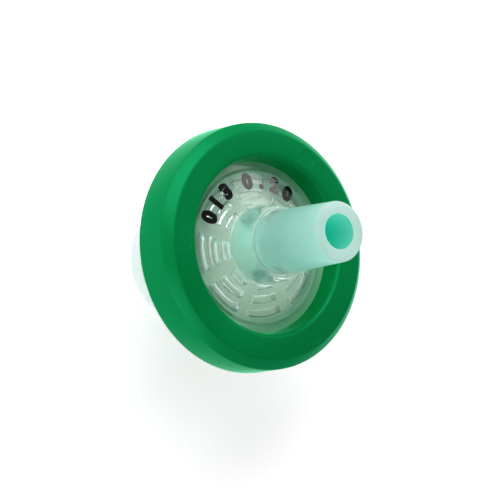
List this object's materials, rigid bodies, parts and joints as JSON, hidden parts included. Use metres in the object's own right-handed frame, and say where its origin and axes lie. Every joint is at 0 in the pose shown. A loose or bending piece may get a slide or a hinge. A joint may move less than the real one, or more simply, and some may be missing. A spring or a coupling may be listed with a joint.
{
  "type": "syringe filter",
  "caption": "Overmoulded membrane syringe filter: clear housing with a female Luer-lock inlet hub, a male Luer-slip outlet nozzle and a green grip ring.",
  "frame": {"origin": "centre of the inlet hub's end face, which the filter stands on", "axes": "+Z along the filter's axis, from the inlet hub to the outlet nozzle's tip"},
  "size_m": [0.0168, 0.0168, 0.0185],
  "materials": {
    "clear_housing": "clear moulded polypropylene",
    "membrane": "white cast membrane, matt",
    "green_ring": "green moulded polypropylene, semi-gloss"
  },
  "bodies": {
    "root": {"inlet_housing": "clear_housing", "membrane": "membrane", "outlet_housing": "clear_housing", "overmould_ring": "green_ring"}
  },
  "joints": []
}
